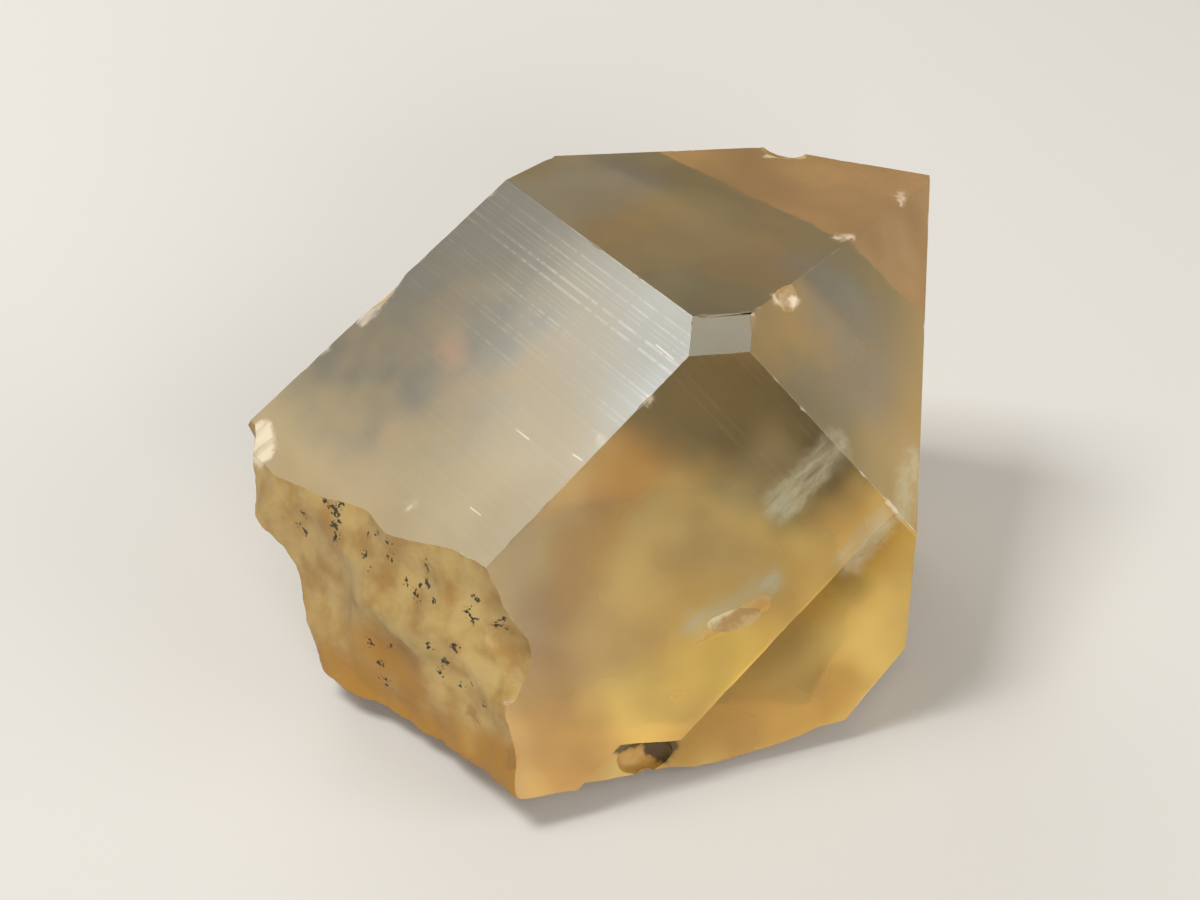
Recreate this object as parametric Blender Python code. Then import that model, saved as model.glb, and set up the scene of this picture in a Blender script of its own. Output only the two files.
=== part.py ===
"""Citrine crystal: one stout quartz point with a broken base, lying on its broken underside.

The growth faces are flat. Each one is named by its azimuth about the crystal's long axis, by the
angle that its pole makes with that axis, and by its distance from the crystal's heart. Quartz keeps
these angles on every crystal, so only the distances are this crystal's own. The break is three rough
sheets: the open base, a side that slopes in under it, and the underside.

Frame: metres, +Z up, origin on the ground below the middle of the crystal's bounding box.
Every length below is in millimetres until it reaches a mesh.
"""
import math

import bmesh
import bpy
from mathutils import Matrix, Vector, noise

MM = 0.001

# How the crystal lies, in degrees: the rise of its long axis, that axis's heading, its own roll.
AXIS_RISE = 31.8
AXIS_HEADING = 35.8
AXIS_ROLL = 1.2
HEART = Vector((0.11, 0.02, 12.0))

# Quartz's own angles, in degrees between a face's pole and the long axis.
PRISM = 90.0
PRISM_TAPERED = 87.0
RHOMB = 51.79
BEVEL = 65.56

# Growth faces: azimuth about the long axis in degrees, pole angle, distance from the heart in mm.
GROWTH_FACES = {
    "prism_top": (0, PRISM, 9.6),
    "prism_front": (60, PRISM, 12.2),
    "prism_right": (120, PRISM_TAPERED, 22.2),
    "prism_under": (180, PRISM, 20.0),
    "prism_back": (240, PRISM, 17.0),
    "prism_left": (300, PRISM_TAPERED, 15.2),
    "point_top": (0, RHOMB, 12.1),
    "point_front": (60, RHOMB, 14.6),
    "point_right": (120, RHOMB, 19.2),
    "point_under": (180, RHOMB, 22.0),
    "point_back": (240, RHOMB, 19.65),
    "point_left": (300, RHOMB, 18.35),
    "bevel": (30, BEVEL, 13.7),
}

# Growth step: to the right of a line along the front face, that face lies deeper. Near the base a
# slanting ledge carries the line across towards the top face.
STEP_TILT = 2.4             # degrees by which the deeper face falls away towards the base
STEP_TOP = 7.9              # mm along the axis from the heart, where the two faces part
STEP_LINE = -11.8           # mm across the front face from the heart
STEP_LINE_LOW = -9.2        # the same, below the ledge
STEP_LEDGE = -15.4          # mm from the heart to the ledge, halfway between along and across
STEP_SHALLOWER = 0.15       # mm by which the strip below the ledge is less deep

STUB = 25.0                 # mm from the heart to the square end that the break removes

# Rough break: outward direction and distance from the heart of the two standing sheets.
BASE_OUTWARD = Vector((-0.648, -0.727, 0.229))
BASE_DISTANCE = 15.5
SIDE_OUTWARD = Vector((-0.795, 0.199, -0.574))
SIDE_DISTANCE = 17.0
SHEET_HALF = 27.0
SHEET_THICK = 30.0
CELL = 0.9

# Underside: a shallow rough dome, cut off flat where the crystal rests.
DOME_CENTRE = Vector((1.9, 1.2, 0.0))     # from the heart
DOME_DIP = 1.0              # mm that the dome reaches below the ground before the flat is cut
DOME_RISE = 2.4             # mm that it has risen, from that dip, at its radius
DOME_RADIUS = 20.5
DOME_ROUGHNESS = 0.4        # share of the break's relief that the underside has

# Relief of the break: scallops that meet in sharp rims, and lumps.
SCALLOP_SPAN = 5.2
SCALLOP_DEPTH = 1.5
LUMP_SPAN = 3.0
LUMP_HEIGHT = 0.55
RELIEF_SHIFT = Vector((20.8, 11.9, 20.8))

# Bites out of edges and faces: place on the whole crystal from the heart, the surfaces that meet
# there, radius, stretch along the edge (or level along a single face), and depth.
BITES = {
    "chip_left_edge": ((-13.4, 5.4, 7.0), ("prism_top", "prism_left"), 1.3, 2.0, 0.6),
    "chip_left_corner": ((-22.3, -1.2, -0.2), ("prism_top", "prism_left", "break_base"), 2.6, 1.0, 1.2),
    "chip_point_edge": ((11.0, -1.5, 10.8), ("point_top", "point_front"), 1.6, 1.3, 0.5),
    "chip_point_back": ((11.8, 16.9, 10.1), ("point_top", "point_back"), 1.1, 1.6, 0.35),
    "bite_base_edge": ((-5.4, -17.2, -2.2), ("prism_front", "break_base"), 3.4, 1.2, 1.1),
    "scar_front": ((7.6, -13.1, -3.3), ("prism_front",), 1.0, 2.4, 0.3),
    "pit_ledge": ((2.7, -17.7, -9.8), ("prism_front",), 1.1, 1.7, 1.3),
}
BITE_RIPPLE = 0.12          # share of a bite's radius by which its wall is uneven

# Golden quartz: warm, see-through, with satin growth faces.
CRYSTAL_COLOUR = (0.72, 0.52, 0.22, 1.0)
CRYSTAL_ROUGHNESS = 0.25
CRYSTAL_IOR = 1.544

LIE = (
    Matrix.Rotation(math.radians(AXIS_HEADING), 3, "Z")
    @ Matrix.Rotation(math.radians(-AXIS_RISE), 3, "Y")
    @ Matrix.Rotation(math.radians(AXIS_ROLL), 3, "X")
    @ Matrix(((0, 0, 1), (0, -1, 0), (1, 0, 0)))
)
ALONG = LIE @ Vector((0, 0, 1))
REACH = 60.0                # mm from the heart to the sides of a block before it is cut
ON_PLANE = 1e-5             # mm within which a corner counts as lying on a cutting plane


def clear_scene():
    """Remove every object that the open file holds."""
    for scene_object in list(bpy.data.objects):
        bpy.data.objects.remove(scene_object, do_unlink=True)


def pole(azimuth, angle):
    """Outward unit direction of a growth face, as the crystal lies."""
    turn = math.radians(azimuth)
    tip = math.radians(angle)
    upright = Vector((math.sin(tip) * math.cos(turn), math.sin(tip) * math.sin(turn), math.cos(tip)))
    return LIE @ upright


def finish_mesh(mesh, name):
    """Turn a millimetre bmesh into a linked object in metres, with its faces pointing out."""
    bmesh.ops.recalc_face_normals(mesh, faces=mesh.faces[:])
    if mesh.calc_volume(signed=True) < 0:
        bmesh.ops.reverse_faces(mesh, faces=mesh.faces[:])
    bmesh.ops.scale(mesh, verts=mesh.verts[:], vec=(MM, MM, MM))
    data = bpy.data.meshes.new(name)
    mesh.to_mesh(data)
    mesh.free()
    made = bpy.data.objects.new(name, data)
    bpy.context.collection.objects.link(made)
    return made


def convex_solid(name, planes):
    """Closed convex solid bounded by planes, each a pair: outward direction, distance from heart."""
    mesh = bmesh.new()
    bmesh.ops.create_cube(mesh, size=2 * REACH, matrix=Matrix.Translation(HEART))
    for outward, distance in planes:
        cut = bmesh.ops.bisect_plane(
            mesh,
            geom=mesh.verts[:] + mesh.edges[:] + mesh.faces[:],
            dist=ON_PLANE,
            plane_co=HEART + outward * distance,
            plane_no=outward,
            clear_outer=True,
        )
        rim = [piece for piece in cut["geom_cut"] if isinstance(piece, bmesh.types.BMEdge)]
        if rim:
            bmesh.ops.contextual_create(mesh, geom=rim)
    return finish_mesh(mesh, name)


def break_relief(point):
    """Height in mm of the rough break at a point: scallops that meet in sharp rims, and lumps."""
    from_heart = point - HEART
    nearest = noise.voronoi(from_heart / SCALLOP_SPAN + RELIEF_SHIFT)[0][0]
    lump = noise.noise(from_heart / LUMP_SPAN + RELIEF_SHIFT)
    return SCALLOP_DEPTH * (nearest * nearest - 0.35) + LUMP_HEIGHT * lump


def dome_relief(point):
    """Height in mm of the underside below the ground: a shallow dome with a little roughness."""
    from_centre = (point - HEART - DOME_CENTRE).to_2d().length / DOME_RADIUS
    return DOME_DIP - DOME_RISE * from_centre ** 2 + DOME_ROUGHNESS * break_relief(point)


def rough_sheet(name, outward, distance, height):
    """Cutter beyond a break: a thick slab whose inner face is a grid raised by height(point)."""
    outward = outward.normalized()
    facing = outward.to_track_quat("Z", "Y").to_matrix().to_4x4()
    cells = round(2 * SHEET_HALF / CELL)
    mesh = bmesh.new()
    bmesh.ops.create_grid(
        mesh,
        x_segments=cells,
        y_segments=cells,
        size=SHEET_HALF,
        matrix=Matrix.Translation(HEART + outward * distance) @ facing,
    )
    inner = mesh.verts[:]
    grown = bmesh.ops.extrude_face_region(mesh, geom=mesh.faces[:])["geom"]
    outer = [piece for piece in grown if isinstance(piece, bmesh.types.BMVert)]
    bmesh.ops.translate(mesh, verts=outer, vec=outward * SHEET_THICK)
    for vertex in inner:
        vertex.co += outward * height(vertex.co)
    return finish_mesh(mesh, name)


def outward_of(surface):
    """Outward direction of a growth face or of the broken base, by name."""
    if surface == "break_base":
        return BASE_OUTWARD.normalized()
    azimuth, angle, _ = GROWTH_FACES[surface]
    return pole(azimuth, angle)


def bite(name, place, surfaces, radius, stretch, depth):
    """Cutter for a chip or a pit: an uneven ellipsoid laid along the edge and sunk in by its depth."""
    directions = [outward_of(surface) for surface in surfaces]
    outward = sum(directions, Vector()).normalized()
    other = directions[1] if len(directions) > 1 else Vector((0, 0, 1))
    across = outward.cross(directions[0].cross(other)).normalized()
    along = across.cross(outward)
    mesh = bmesh.new()
    bmesh.ops.create_icosphere(mesh, subdivisions=3, radius=1.0)
    centre = HEART + Vector(place) + outward * (radius - depth)
    for vertex in mesh.verts:
        ball = vertex.co * radius * (1 + BITE_RIPPLE * noise.noise(vertex.co * 2 + RELIEF_SHIFT))
        vertex.co = centre + along * ball.x * stretch + across * ball.y + outward * ball.z
    return finish_mesh(mesh, name)


def cut(body, cutter):
    """Cut a cutter away from the body with a live Boolean, and hide the cutter."""
    boolean = body.modifiers.new("cut " + cutter.name, "BOOLEAN")
    boolean.operation = "DIFFERENCE"
    boolean.solver = "EXACT"
    boolean.object = cutter
    cutter.hide_render = True
    cutter.hide_set(True)
    cutter.display_type = "WIRE"


def step_cutters():
    """Cutters for the growth step on the front face: the long deep part, and the part by the ledge."""
    deep = pole(60, PRISM + STEP_TILT)
    front_distance = GROWTH_FACES["prism_front"][2]
    tilt = math.radians(STEP_TILT)
    depth = front_distance * math.cos(tilt) - STEP_TOP * math.sin(tilt)
    across = pole(-30, PRISM)
    slant = (ALONG + across).normalized()
    long_part = convex_solid("step_long", [(-deep, -depth), (across, STEP_LINE)])
    low_depth = depth + STEP_SHALLOWER
    low_part = convex_solid("step_low", [(-deep, -low_depth), (across, STEP_LINE_LOW), (slant, STEP_LEDGE)])
    return long_part, low_part


def citrine_material():
    """Golden translucent quartz with satin growth faces."""
    material = bpy.data.materials.new("citrine")
    material.use_nodes = True
    shader = material.node_tree.nodes["Principled BSDF"]
    shader.inputs["Base Color"].default_value = CRYSTAL_COLOUR
    shader.inputs["Roughness"].default_value = CRYSTAL_ROUGHNESS
    shader.inputs["IOR"].default_value = CRYSTAL_IOR
    shader.inputs["Transmission Weight"].default_value = 1.0
    return material


def build_crystal():
    """Grow the crystal from its faces, cut its growth step, then break it."""
    faces = [(pole(azimuth, angle), distance) for azimuth, angle, distance in GROWTH_FACES.values()]
    crystal = convex_solid("citrine_crystal", faces + [(-ALONG, STUB)])
    for cutter in step_cutters():
        cut(crystal, cutter)
    for name, (place, surfaces, radius, stretch, depth) in BITES.items():
        cut(crystal, bite(name, place, surfaces, radius, stretch, depth))
    cut(crystal, rough_sheet("break_base", BASE_OUTWARD, BASE_DISTANCE, break_relief))
    cut(crystal, rough_sheet("break_side", SIDE_OUTWARD, SIDE_DISTANCE, break_relief))
    cut(crystal, rough_sheet("break_underside", Vector((0, 0, -1)), HEART.z, dome_relief))
    cut(crystal, convex_solid("resting_flat", [(Vector((0, 0, 1)), -HEART.z)]))
    crystal.data.materials.append(citrine_material())
    return crystal


clear_scene()
build_crystal()
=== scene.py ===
"""Looks of the citrine crystal: a stout golden quartz point lying on its broken underside.

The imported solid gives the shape. Here its growth faces get growth lines, its edges get wear, and
its break gets the fine relief that the solid leaves out. One hazy golden quartz dresses the whole
stone, because it grew as one piece. Lengths are in millimetres until they reach a mesh, and places
in the stone are measured from its heart.
"""
import logging
import math
import random
from dataclasses import dataclass, field
from enum import Enum, IntEnum
from functools import partial
from typing import NamedTuple

import bmesh
import bpy
from mathutils import Euler, Matrix, Vector, noise
from mathutils.bvhtree import BVHTree


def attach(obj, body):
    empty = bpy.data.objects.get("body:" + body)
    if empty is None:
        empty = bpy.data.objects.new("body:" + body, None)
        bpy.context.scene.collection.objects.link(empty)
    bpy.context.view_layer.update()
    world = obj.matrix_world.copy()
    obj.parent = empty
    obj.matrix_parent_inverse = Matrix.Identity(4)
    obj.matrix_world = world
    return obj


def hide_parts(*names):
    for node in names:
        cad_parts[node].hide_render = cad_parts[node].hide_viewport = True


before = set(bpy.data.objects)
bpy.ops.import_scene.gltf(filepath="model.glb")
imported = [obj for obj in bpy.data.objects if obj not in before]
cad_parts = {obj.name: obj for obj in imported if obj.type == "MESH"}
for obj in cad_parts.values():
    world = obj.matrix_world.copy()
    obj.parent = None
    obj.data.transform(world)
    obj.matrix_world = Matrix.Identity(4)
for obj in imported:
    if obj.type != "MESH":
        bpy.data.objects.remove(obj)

LOG = logging.getLogger("citrine")
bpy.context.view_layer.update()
MM = 0.001

# How the crystal lies: its heart, and the rise, heading and roll of its long axis in degrees.
HEART = Vector((0.11, 0.02, 12.0))
AXIS_RISE = 31.8
AXIS_HEADING = 35.8
AXIS_ROLL = 1.2
LIE = (
    Matrix.Rotation(math.radians(AXIS_HEADING), 3, "Z")
    @ Matrix.Rotation(math.radians(-AXIS_RISE), 3, "Y")
    @ Matrix.Rotation(math.radians(AXIS_ROLL), 3, "X")
    @ Matrix(((0, 0, 1), (0, -1, 0), (1, 0, 0)))
)
UP = Vector((0.0, 0.0, 1.0))
ALONG = LIE @ Vector((0, 0, 1))
# Sideways over the top prism face, square to the long axis.
ACROSS = (LIE @ Vector((1, 0, 0))).cross(ALONG)
# Where the deeper strip beside the front face points.
STEP_FACE = Vector((0.278, -0.879, 0.387)).normalized()

# Quartz's own angles, in degrees between a face's pole and the long axis.
PRISM = 90.0
PRISM_TAPERED = 87.0
RHOMB = 51.79
BEVEL = 65.56


class Surface(IntEnum):
    """What a stretch of the stone's skin is."""

    GROWTH = 0
    EDGE = 1
    BREAK = 2
    REST = 3


@dataclass(frozen=True)
class FaceFinish:
    """One growth face: where its pole points, how frosted it is and how strong its lines are."""

    azimuth: float
    angle: float
    frost: float
    lines: float

    def pole(self) -> Vector:
        """Work out which way the face points as the crystal lies.

        Returns:
            Its outward direction.
        """
        turn = math.radians(self.azimuth)
        tip = math.radians(self.angle)
        upright = (math.sin(tip) * math.cos(turn), math.sin(tip) * math.sin(turn), math.cos(tip))
        return LIE @ Vector(upright)


# The prism faces, then the point faces, then the small bevel between two of each.
FACE_FINISHES = (
    FaceFinish(0, PRISM, 1.0, 1.0),
    FaceFinish(60, PRISM, 0.0, 0.1),
    FaceFinish(120, PRISM_TAPERED, 0.15, 0.5),
    FaceFinish(180, PRISM, 0.4, 0.8),
    FaceFinish(240, PRISM, 0.5, 0.8),
    FaceFinish(300, PRISM_TAPERED, 0.9, 0.9),
    FaceFinish(0, RHOMB, 0.15, 0.0),
    FaceFinish(60, RHOMB, 0.25, 0.0),
    FaceFinish(120, RHOMB, 0.4, 0.0),
    FaceFinish(180, RHOMB, 0.4, 0.0),
    FaceFinish(240, RHOMB, 0.4, 0.0),
    FaceFinish(300, RHOMB, 0.5, 0.0),
    FaceFinish(30, BEVEL, 0.85, 0.0),
)


class Outline(Enum):
    """How the outline of a mark wanders, by the name of the place that the mark is set against."""

    CRISP = "place"
    RAGGED = "ragged"
    DRIFTING = "drifting"


@dataclass(frozen=True)
class Mark:
    """A spot or streak in the stone: its two ends and its radius."""

    start: tuple[float, float, float]
    end: tuple[float, float, float]
    radius: float

    def run(self) -> Vector:
        """Return the way from its start to its end."""
        return Vector(self.end) - Vector(self.start)


@dataclass(frozen=True)
class Tint:
    """Marks of one colour: how far they fade out beyond their radius, and how strongly they show."""

    colour: str
    fade: float
    strength: float
    outline: Outline
    marks: tuple[Mark, ...]


# In the depth of the stone, just under the face that shows them. The glow, the olive and the grey are
# painted light, painted shade and painted reflection, not colour in the stone.
# Painted light: a golden glow low on the front face beside the ridge, where light comes through the stone.
PAINTED_GLOW = Tint("#FFD264", 3.2, 1.0, Outline.DRIFTING, (
    Mark((1.5, -16.7, -6.5), (7.7, -13.9, -5.2), 0.8),  # low on the front face, beside the ridge
))
AMBER_STREAKS = Tint("#B47C1E", 2.6, 0.58, Outline.DRIFTING, (
    Mark((-3.0, -15.7, -0.9), (2.2, -10.4, 6.4), 0.4),  # along the upper left of the front face
    Mark((-3.5, -17.5, -3.5), (-1.5, -18.4, -9.0), 1.0),  # beside the break, down to the ground
    Mark((8.5, -15.3, -10.3), (13.5, -12.8, -8.5), 0.8),  # foot of the deeper strip
))
# Painted shade: dark olive under the bevel, where the upper front face looks dark.
OLIVE_SHADE = Tint("#5F5430", 4.0, 1.0, Outline.DRIFTING, (
    Mark((4.5, -8.0, 9.5), (11.7, -7.5, 4.9), 1.9),  # under the bevel
))
VEILS = Tint("#C9B27E", 2.4, 0.25, Outline.DRIFTING, (
    Mark((5.0, -11.7, 1.5), (9.0, -11.4, -1.0), 0.4),  # middle of the front face
    Mark((7.8, -10.0, 2.9), (9.8, -8.4, 4.9), 0.3),  # between there and the point
    Mark((-4.4, -14.2, 3.4), (-4.7, -16.5, -3.2), 0.3),  # beside the break
))
# Painted reflection: grey patches on the point's top face and right of the bevel.
GREY_REFLECTIONS = Tint("#868B8C", 4.0, 0.45, Outline.DRIFTING, (
    Mark((-4.0, 6.5, 12.0), (0.5, 11.5, 11.5), 1.0),  # left end of the point's top face
    Mark((13.5, 1.0, 9.0), (15.5, -2.0, 6.0), 1.0),  # right of the bevel
))
WISPS = Tint("#D9D3AE", 1.3, 0.75, Outline.RAGGED, (
    Mark((10.2, -9.5, 2.2), (13.5, -7.2, 4.6), 0.25),  # the largest, on the front face below the point
    Mark((14.4, -9.8, -1.6), (16.2, -8.4, 0.0), 0.1),  # upper end of the ridge
    Mark((18.5, -4.0, 1.4), (17.6, -7.4, 0.2), 0.15),  # low at the point's right-hand edge
    Mark((5.3, -13.8, -3.0), (9.7, -11.6, -1.8), 0.0),  # above the scar
))
BLUSH = Tint("#B98A66", 1.5, 0.4, Outline.RAGGED, (
    Mark((-8.9, -0.4, 6.9), (-8.6, -1.2, 6.7), 0.1),  # middle of the top face
))

# On the skin: rust in hollows, whitish bruises where the stone was knocked, and dark marks: iron oxide
# specks on the break, and darkening in the pit by the ledge.
STAINS = Tint("#7A5528", 0.45, 0.75, Outline.RAGGED, (
    Mark((5.7, -14.2, -3.9), (7.6, -13.0, -3.3), 0.15),  # lower half of the scar
    Mark((7.6, -13.0, -3.3), (9.4, -12.2, -2.8), 0.2),  # upper half of the scar
    Mark((-4.9, -19.4, -7.6), (-4.9, -19.5, -8.2), 0.3),  # red-brown spot low on the break
    Mark((-7.3, -16.6, -7.2), (-6.9, -16.8, -7.5), 0.1),  # a smaller one beside it
    Mark((4.2, -15.9, -6.7), (4.8, -15.8, -6.6), 0.0),  # speckle above the pit
))
BRUISES = Tint("#EBDFC8", 0.5, 1.0, Outline.RAGGED, (
    Mark((-14.2, 4.3, 5.7), (-12.4, 6.0, 7.0), 0.35),  # chip on the left edge
    Mark((-11.0, 7.1, 8.6), (-10.8, 7.2, 8.8), 0.12),  # nick above that chip
    Mark((-6.8, 9.5, 11.6), (-6.5, 9.7, 11.8), 0.12),  # nick at the upper end of the left edge
    Mark((-16.8, 3.2, 4.3), (-16.5, 3.4, 4.5), 0.1),  # nick below that chip
    Mark((-20.6, -1.0, 0.9), (-20.2, -2.2, 0.3), 0.7),  # chip at the left corner
    Mark((10.1, -2.0, 11.2), (11.2, -1.0, 10.5), 0.2),  # chip beside the bevel
    Mark((14.4, 6.0, 10.4), (15.0, 6.4, 10.3), 0.15),  # nick on the edge towards the tip
    Mark((11.0, 16.7, 10.2), (12.4, 17.2, 9.9), 0.15),  # chip on the back edge
    Mark((19.1, 13.0, 9.4), (18.9, 11.6, 9.5), 0.1),  # bruise beside the tip
    Mark((0.0, -10.4, 7.4), (0.2, -10.3, 7.5), 0.05),  # nick on the edge of the front face
    Mark((2.7, -9.0, 9.2), (2.9, -8.9, 9.3), 0.05),  # another, near the bevel
    Mark((-10.7, -9.8, 2.4), (-10.5, -9.9, 2.4), 0.12),  # dent above the break
))
# Short scratches, all on the top face and square to the long axis.
SCRATCHES = Tint("#EBDFC8", 0.07, 0.7, Outline.CRISP, (
    Mark((3.1, -5.8, 10.6), (4.0, -7.1, 10.55), 0.0),
    Mark((-4.7, -7.6, 6.06), (-4.0, -8.5, 6.08), 0.0),
    Mark((-1.5, -10.5, 6.53), (-1.0, -11.1, 6.59), 0.0),
    Mark((-7.2, -11.3, 3.44), (-6.6, -12.0, 3.45), 0.0),
))
DARK_MARKS = Tint("#261C10", 0.45, 0.9, Outline.RAGGED, (
    Mark((1.3, -17.3, -9.3), (4.1, -16.5, -9.8), 0.3),  # roof of the pit by the ledge
    Mark((3.0, -16.4, -10.1), (3.6, -16.5, -10.5), 0.4),  # right wall of the pit
))

# The edge between the front face and the deeper strip beside it.
STEP_RIDGE = (
    Mark((16.6, -8.2, 0.9), (4.6, -16.6, -9.2), 0.0),
)

# A mark that is shorter than this counts as a round spot.
SPOT_RUN = 0.5


@dataclass(frozen=True)
class SpeckPatch:
    """A patch of dark specks on the break: its middle and reach, how many, and how large they are."""

    middle: tuple[float, float, float]
    reach: float
    count: int
    smallest: float
    largest: float


SPECK_SEED = 11
SPECK_PATCHES = (
    SpeckPatch((-15.0, -8.0, 0.2), 1.3, 10, 0.16, 0.36),
    SpeckPatch((-17.9, -5.8, -1.8), 0.9, 3, 0.14, 0.22),
    SpeckPatch((-12.6, -10.4, -0.4), 1.2, 6, 0.12, 0.24),
    SpeckPatch((-9.7, -13.2, -0.6), 1.4, 8, 0.14, 0.26),
    SpeckPatch((-6.0, -15.5, -0.4), 1.3, 6, 0.14, 0.26),
    SpeckPatch((-9.4, -14.6, -4.2), 1.8, 5, 0.12, 0.3),
    SpeckPatch((-12.5, -12.4, -7.0), 1.6, 5, 0.1, 0.2),
    SpeckPatch((-6.8, -16.8, -6.2), 1.2, 3, 0.1, 0.14),
)


def linear(hex_colour: str) -> tuple[float, float, float, float]:
    """Turn an sRGB hex colour into the linear colour that shaders take.

    Args:
        hex_colour: Six hex digits after a hash.

    Returns:
        Linear red, green, blue and an alpha of one.
    """
    shares = [int(hex_colour[place:place + 2], 16) / 255 for place in (1, 3, 5)]
    turned = [s / 12.92 if s <= 0.04045 else ((s + 0.055) / 1.055) ** 2.4 for s in shares]
    return (*turned, 1.0)


def put(
    tree: bpy.types.NodeTree,
    kind: str,
    inputs: tuple | dict[str | int, object] = (),
    result: str | int = 0,
    **settings: object,
) -> bpy.types.NodeSocket | None:
    """Add a node to a tree with its settings, values and links.

    Args:
        tree: The node tree that gets the node.
        kind: Blender's name for the kind of node.
        inputs: Values, or the outputs that feed them, in the order of the sockets or by their names.
        result: Name or number of the output that is wanted.
        settings: Properties of the node itself.

    Returns:
        The output that is wanted, or None for a node that has none.
    """
    node = tree.nodes.new(kind)
    for name, value in settings.items():
        setattr(node, name, value)
    named = inputs if isinstance(inputs, dict) else dict(enumerate(inputs))
    for name, value in named.items():
        if isinstance(value, bpy.types.NodeSocket):
            tree.links.new(value, node.inputs[name])
        else:
            node.inputs[name].default_value = value
    return node.outputs[result] if node.outputs else None


class Fade(NamedTuple):
    """A change of one value as another goes from low to high: what it goes from and to."""

    low: float
    high: float
    first: float = 0.0
    last: float = 1.0


SMOOTH = {"interpolation_type": "SMOOTHSTEP"}


class Texture(NamedTuple):
    """A natural pattern: how wide its lumps are in millimetres, and how many finer sizes it adds."""

    span: float
    detail: float


@dataclass
class HazyCitrine:
    """Natural citrine: satin growth faces over hazy gold, and a matt cream break with rusty grit."""

    # The depth: gold low down, smoky on top, as painted light and shade by height: lighter where light
    # comes through low down, darker higher up. Orange past a plane near the tip is painted light seen
    # through the back faces.
    low_gold: str = "#EEBE62"
    amber: str = "#D4B062"
    smoky_shade: str = "#968250"
    orange_through_light: str = "#D2A25C"
    amber_rise: Fade = Fade(-7.0, 4.5)
    smoky_shade_rise: Fade = Fade(2.5, 11.0)
    cloud_lift: Fade = Fade(0.3, 0.7, -3.0, 3.0)
    zone_outward: tuple[float, float, float] = (0.571, 0.593, 0.567)
    zone_edge: Fade = Fade(17.58, 17.82)
    zone_ripple: Fade = Fade(0.3, 0.7, -0.15, 0.15)

    # The deeper strip beside the front face: painted shade, dark under its ridge where the step shades it,
    # pale further off.
    ridge_shade_amber: str = "#B28620"
    pale_gold: str = "#E8C468"
    ridge_shade_fade: Fade = Fade(0.6, 4.5)
    olive_on_frost: Fade = Fade(0.1, 0.25, 1.0, 0.3)

    # The frost of satin faces, with light and shade painted into it: a silver sheen near the tip, a warm
    # glow near the break, grey shade round the side.
    sheen_silver: str = "#9CA198"
    glow_warm_frost: str = "#B09D74"
    shade_grey_frost: str = "#5F5F52"
    frost_cover: Fade = Fade(0.25, 0.75, 0.82, 1.0)
    frost_wander: Fade = Fade(0.25, 0.75, -2.0, 2.0)
    sheen_tipward: Fade = Fade(-6.0, 5.0)
    shade_tipward: Fade = Fade(-13.0, -5.0)
    shade_sideways: Fade = Fade(-4.0, 8.0)

    # The light that growth lines catch, in rings about 0.3 mm apart. Real ones go down to a few
    # hundredths of a millimetre, too fine to show, so they are drawn coarser.
    striae: str = "#E4E4DA"
    rings: Texture = Texture(0.3, 2.0)
    ring_levels: Fade = Fade(0.5, 0.7)
    ring_tipward: Fade = Fade(-4.0, 6.0, 0.05, 0.5)
    ring_fibres: Fade = Fade(0.3, 0.6)
    ring_sideways: Fade = Fade(10.0, 0.0, 0.15, 0.7)

    # The break: a cream skin with ochre patches, honey where it is low.
    cream: str = "#BCA062"
    ochre: str = "#A07B3E"
    honey: str = "#AC7C2B"
    ochre_patches: Fade = Fade(0.35, 0.7)
    honey_depth: Fade = Fade(-5.0, -10.0)

    # Wear and dirt: how fibres break them up, and how a speck's grit frays its edge.
    # The worn edge strips are lightened: partly real wear, partly a painted highlight along the edges.
    edge_wear_and_glint: float = 0.35
    wisp_fibres: Fade = Fade(0.3, 0.65, 0.3, 1.0)
    bruise_fibres: Fade = Fade(0.3, 0.62, 0.08, 0.6)
    speck_fray: float = 1.4
    speck_edge: Fade = Fade(0.75, 0.6)

    # Clouds of haze are about 7 mm across, patches of crust 2 mm, and the grit of a speck 0.2 mm. The
    # real dimples of the skin are about 0.1 mm, too fine to show, so they are drawn at 0.45 mm.
    clouds: Texture = Texture(7.0, 2.0)
    mottle: Texture = Texture(2.2, 4.0)
    grain: Texture = Texture(0.45, 3.0)
    grit: Texture = Texture(0.24, 2.0)
    evenness: float = 0.55

    # Fibres are 0.7 mm wide and five times as long, because four fifths of their length is taken up.
    fibres: Texture = Texture(0.7, 4.0)
    fibre_stretch: float = 0.8

    # Outlines: chips and stains fray by up to 0.4 mm, and tints in the depth wander by up to 1 mm.
    ragged: Texture = Texture(0.5, 2.0)
    ragged_throw: float = 0.8
    drifting: Texture = Texture(3.2, 1.0)
    drifting_throw: float = 2.0

    # How much light goes in: less through frost and crust, hardly any through bruises and stains.
    clearness: Fade = Fade(0.3, 0.7, 0.72, 0.55)
    frost_dulls: float = -0.25
    break_dulls: float = -0.3
    marks_dull: Fade = Fade(0.0, 1.0, 1.0, 0.1)

    # The skin: satin faces, a rougher break, and the relief of the grain.
    face_roughness: float = 0.17
    frost_roughness: float = 0.15
    break_roughness: float = 0.3
    grain_roughness: Fade = Fade(0.3, 0.7, -0.015, 0.015)
    grain_relief: Fade = Fade(0.0, 1.0, 0.07, 1.0)
    grain_height: float = 0.05
    ior: float = 1.544

    # What the depth takes: through 20 mm, light loses a twentieth of its red and a third of its blue.
    depth_tint: tuple[float, float, float, float] = (0.90, 0.72, 0.30, 1.0)
    depth_density: float = 28.0

    add: partial | None = None
    read: dict[str, bpy.types.NodeSocket] = field(default_factory=dict)

    def build(self) -> bpy.types.Material:
        """Build the material that dresses the whole stone.

        Returns:
            One material: a surface that is part see-through, over plain absorption.
        """
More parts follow.
